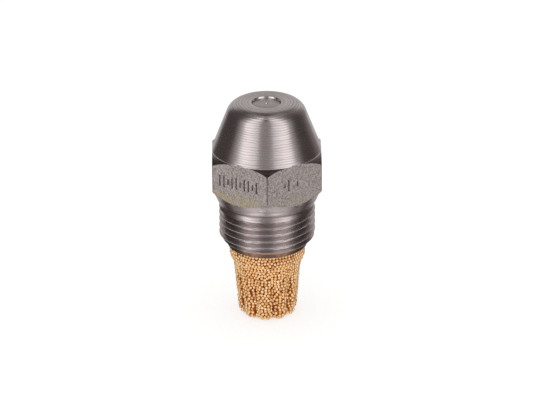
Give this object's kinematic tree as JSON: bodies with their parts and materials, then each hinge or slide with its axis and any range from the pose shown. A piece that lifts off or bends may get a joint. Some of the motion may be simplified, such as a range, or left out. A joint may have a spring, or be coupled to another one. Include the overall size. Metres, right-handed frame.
{
  "type": "oil burner nozzle",
  "caption": "Steel oil burner spray nozzle with a hexagon, a conical head, a screwed end and a fluted filter of sintered bronze beads.",
  "frame": {"origin": "centre of the object's footprint, on the flat end of the filter that it stands on", "axes": "+Z along the nozzle's axis, from the filter to the spray orifice; -Y towards the front corner of the hexagon"},
  "size_m": [0.016, 0.0184, 0.0337],
  "materials": {
    "body_steel": "satin",
    "disc_steel": "satin",
    "brass": "satin",
    "tarnished_brass": "matte",
    "sintered_bronze": "satin"
  },
  "bodies": {
    "filter": {"filter_bush": "tarnished_brass", "filter_cup": "sintered_bronze"},
    "nozzle": {"nozzle_body": "body_steel", "orifice_disc": "disc_steel"},
    "lock": {"lock_screw": "brass"},
    "swirl": {"swirl_cone": "brass"}
  },
  "joints": [
    {"name": "filter_thread", "type": "slide", "parent": "filter", "child": "nozzle", "axis": [0, 0, 1], "range_m": [0, 0.014]},
    {"name": "lock_screw_thread", "type": "slide", "parent": "nozzle", "child": "lock", "axis": [0, 0, -1], "range_m": [0, 0.02156]},
    {"name": "swirl_cone_draw", "type": "slide", "parent": "nozzle", "child": "swirl", "axis": [0, 0, -1], "range_m": [0, 0.02002]}
  ],
  "couplings": [
    {"joint": "lock_screw_thread", "follows": "filter_thread", "ratio": 1.54},
    {"joint": "swirl_cone_draw", "follows": "filter_thread", "ratio": 1.43}
  ]
}
